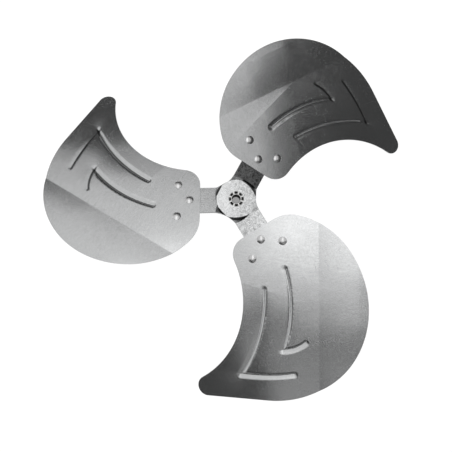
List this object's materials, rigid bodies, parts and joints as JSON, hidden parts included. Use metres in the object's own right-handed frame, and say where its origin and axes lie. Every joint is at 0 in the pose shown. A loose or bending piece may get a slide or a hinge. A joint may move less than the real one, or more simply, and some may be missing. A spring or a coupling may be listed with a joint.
{
  "type": "metal fan blade",
  "caption": "Axial fan blade: pressed sheet-metal blades with stiffening beads, riveted to a stamped spider whose staked hub clamps to a motor shaft with a set screw to move air.",
  "frame": {"origin": "on the bore's axis, at the front face of the spider's disc", "axes": "+Z along the fan's axis out of the front, the side that the blades are riveted to; the middle line of blade_1's arm runs along -X, with blade_2 and blade_3 following clockwise seen from the front; the shaft goes in from -Z"},
  "size_m": [0.5836, 0.5507, 0.1021],
  "materials": {
    "blade_sheet": "galvanised, satin with faint spangle",
    "spider_sheet": "galvanised, satin with coarser spangle",
    "hub_steel": "turned and zinc plated",
    "rivet_steel": "zinc plated, smooth",
    "screw_steel": "black oxide"
  },
  "bodies": {
    "root": {"blade_1": "blade_sheet", "blade_2": "blade_sheet", "blade_3": "blade_sheet", "spider": "spider_sheet", "hub": "hub_steel", "set_screw": "screw_steel", "rivet_1_1": "rivet_steel", "rivet_1_2": "rivet_steel", "rivet_1_3": "rivet_steel", "rivet_2_1": "rivet_steel", "rivet_2_2": "rivet_steel", "rivet_2_3": "rivet_steel", "rivet_3_1": "rivet_steel", "rivet_3_2": "rivet_steel", "rivet_3_3": "rivet_steel"}
  },
  "joints": []
}
